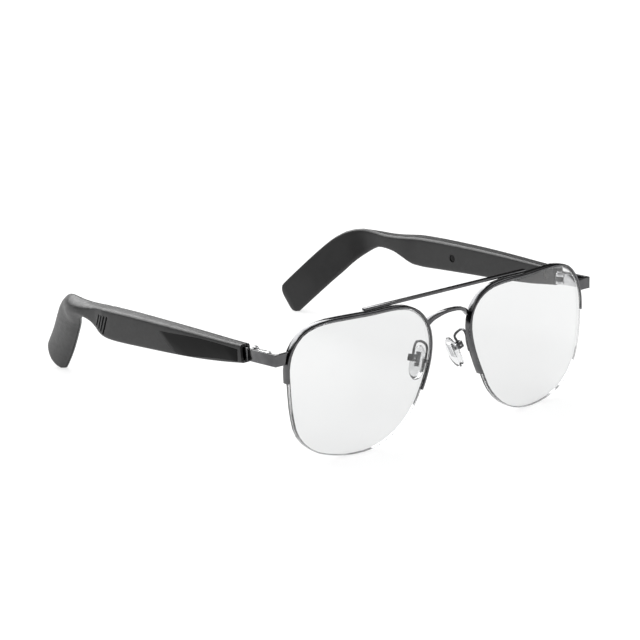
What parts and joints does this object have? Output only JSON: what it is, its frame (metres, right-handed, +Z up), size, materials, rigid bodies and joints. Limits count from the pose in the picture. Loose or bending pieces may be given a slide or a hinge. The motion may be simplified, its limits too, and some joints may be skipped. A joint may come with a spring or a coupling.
{
  "type": "smart glasses",
  "caption": "Half-rim smart glasses with a brow bar, rocking nose pads and folding hollow temples that hold speakers, touch panels and batteries.",
  "frame": {"origin": "middle of the bounding box seen from above, at the height of the surface that the glasses stand on", "axes": "+X to the wearer's left, +Y from the lenses back along the temples, +Z up from the table"},
  "size_m": [0.1502, 0.1621, 0.0504],
  "materials": {
    "frame_metal": "polished dark gunmetal plating on metal wire and strip",
    "steel": "small screws and pressings, satin",
    "speaker_metal": "dark coated steel",
    "contact_metal": "dark plated contact",
    "lens": "clear plastic lens, polished, coated",
    "pad_silicone": "clear soft silicone",
    "nylon": "clear nylon liner and cord",
    "shell": "fine satin dark grey moulding",
    "gloss_black": "polished black",
    "board": "solder mask",
    "flex": "amber flexible circuit",
    "cell": "pouch foil"
  },
  "bodies": {
    "front": {"brow_bar": "frame_metal", "bridge": "frame_metal", "rim_left": "frame_metal", "rim_right": "frame_metal", "rim_liner_left": "nylon", "rim_liner_right": "nylon", "lens_cord_left": "nylon", "lens_cord_right": "nylon", "lens_left": "lens", "lens_right": "lens", "end_piece_left": "frame_metal", "end_piece_right": "frame_metal", "front_hinge_leaf_left": "frame_metal", "front_hinge_leaf_right": "frame_metal", "hinge_screw_left": "steel", "hinge_screw_right": "steel", "pad_arm_left": "frame_metal", "pad_arm_right": "frame_metal", "pad_box_left": "frame_metal", "pad_box_right": "frame_metal", "pad_screw_left": "steel", "pad_screw_right": "steel"},
    "left_temple": {"temple_shell_left": "shell", "temple_cover_left": "shell", "touch_panel_left": "gloss_black", "temple_hinge_leaf_left": "frame_metal", "charge_contact_left": "contact_metal", "wear_sensor_left": "gloss_black", "circuit_board_left": "board", "microphone_left": "steel", "speaker_left": "speaker_metal", "speaker_mesh_left": "speaker_metal", "flex_cable_left": "flex", "battery_left": "cell"},
    "right_temple": {"temple_shell_right": "shell", "temple_cover_right": "shell", "touch_panel_right": "gloss_black", "temple_hinge_leaf_right": "frame_metal", "charge_contact_right": "contact_metal", "circuit_board_right": "board", "microphone_right": "steel", "speaker_right": "speaker_metal", "speaker_mesh_right": "speaker_metal", "flex_cable_right": "flex", "battery_right": "cell"},
    "left_pad": {"nose_pad_left": "pad_silicone", "pad_core_left": "steel"},
    "right_pad": {"nose_pad_right": "pad_silicone", "pad_core_right": "steel"}
  },
  "joints": [
    {"name": "left_fold", "type": "hinge", "parent": "front", "child": "left_temple", "pos_m": [0.06884, -0.0593, 0.0372], "axis": [0, 0, 1], "range_deg": [0, 88]},
    {"name": "right_fold", "type": "hinge", "parent": "front", "child": "right_temple", "pos_m": [-0.06884, -0.0593, 0.0372], "axis": [0, 0, -1], "range_deg": [0, 76]},
    {"name": "left_pad_tilt", "type": "hinge", "parent": "front", "child": "left_pad", "pos_m": [0.01097, -0.07126, 0.02677], "axis": [-0.1, -0.9875, 0.1215], "range_deg": [-10, 10]},
    {"name": "right_pad_tilt", "type": "hinge", "parent": "front", "child": "right_pad", "pos_m": [-0.01097, -0.07126, 0.02677], "axis": [0.1, -0.9875, 0.1215], "range_deg": [-10, 10]}
  ]
}
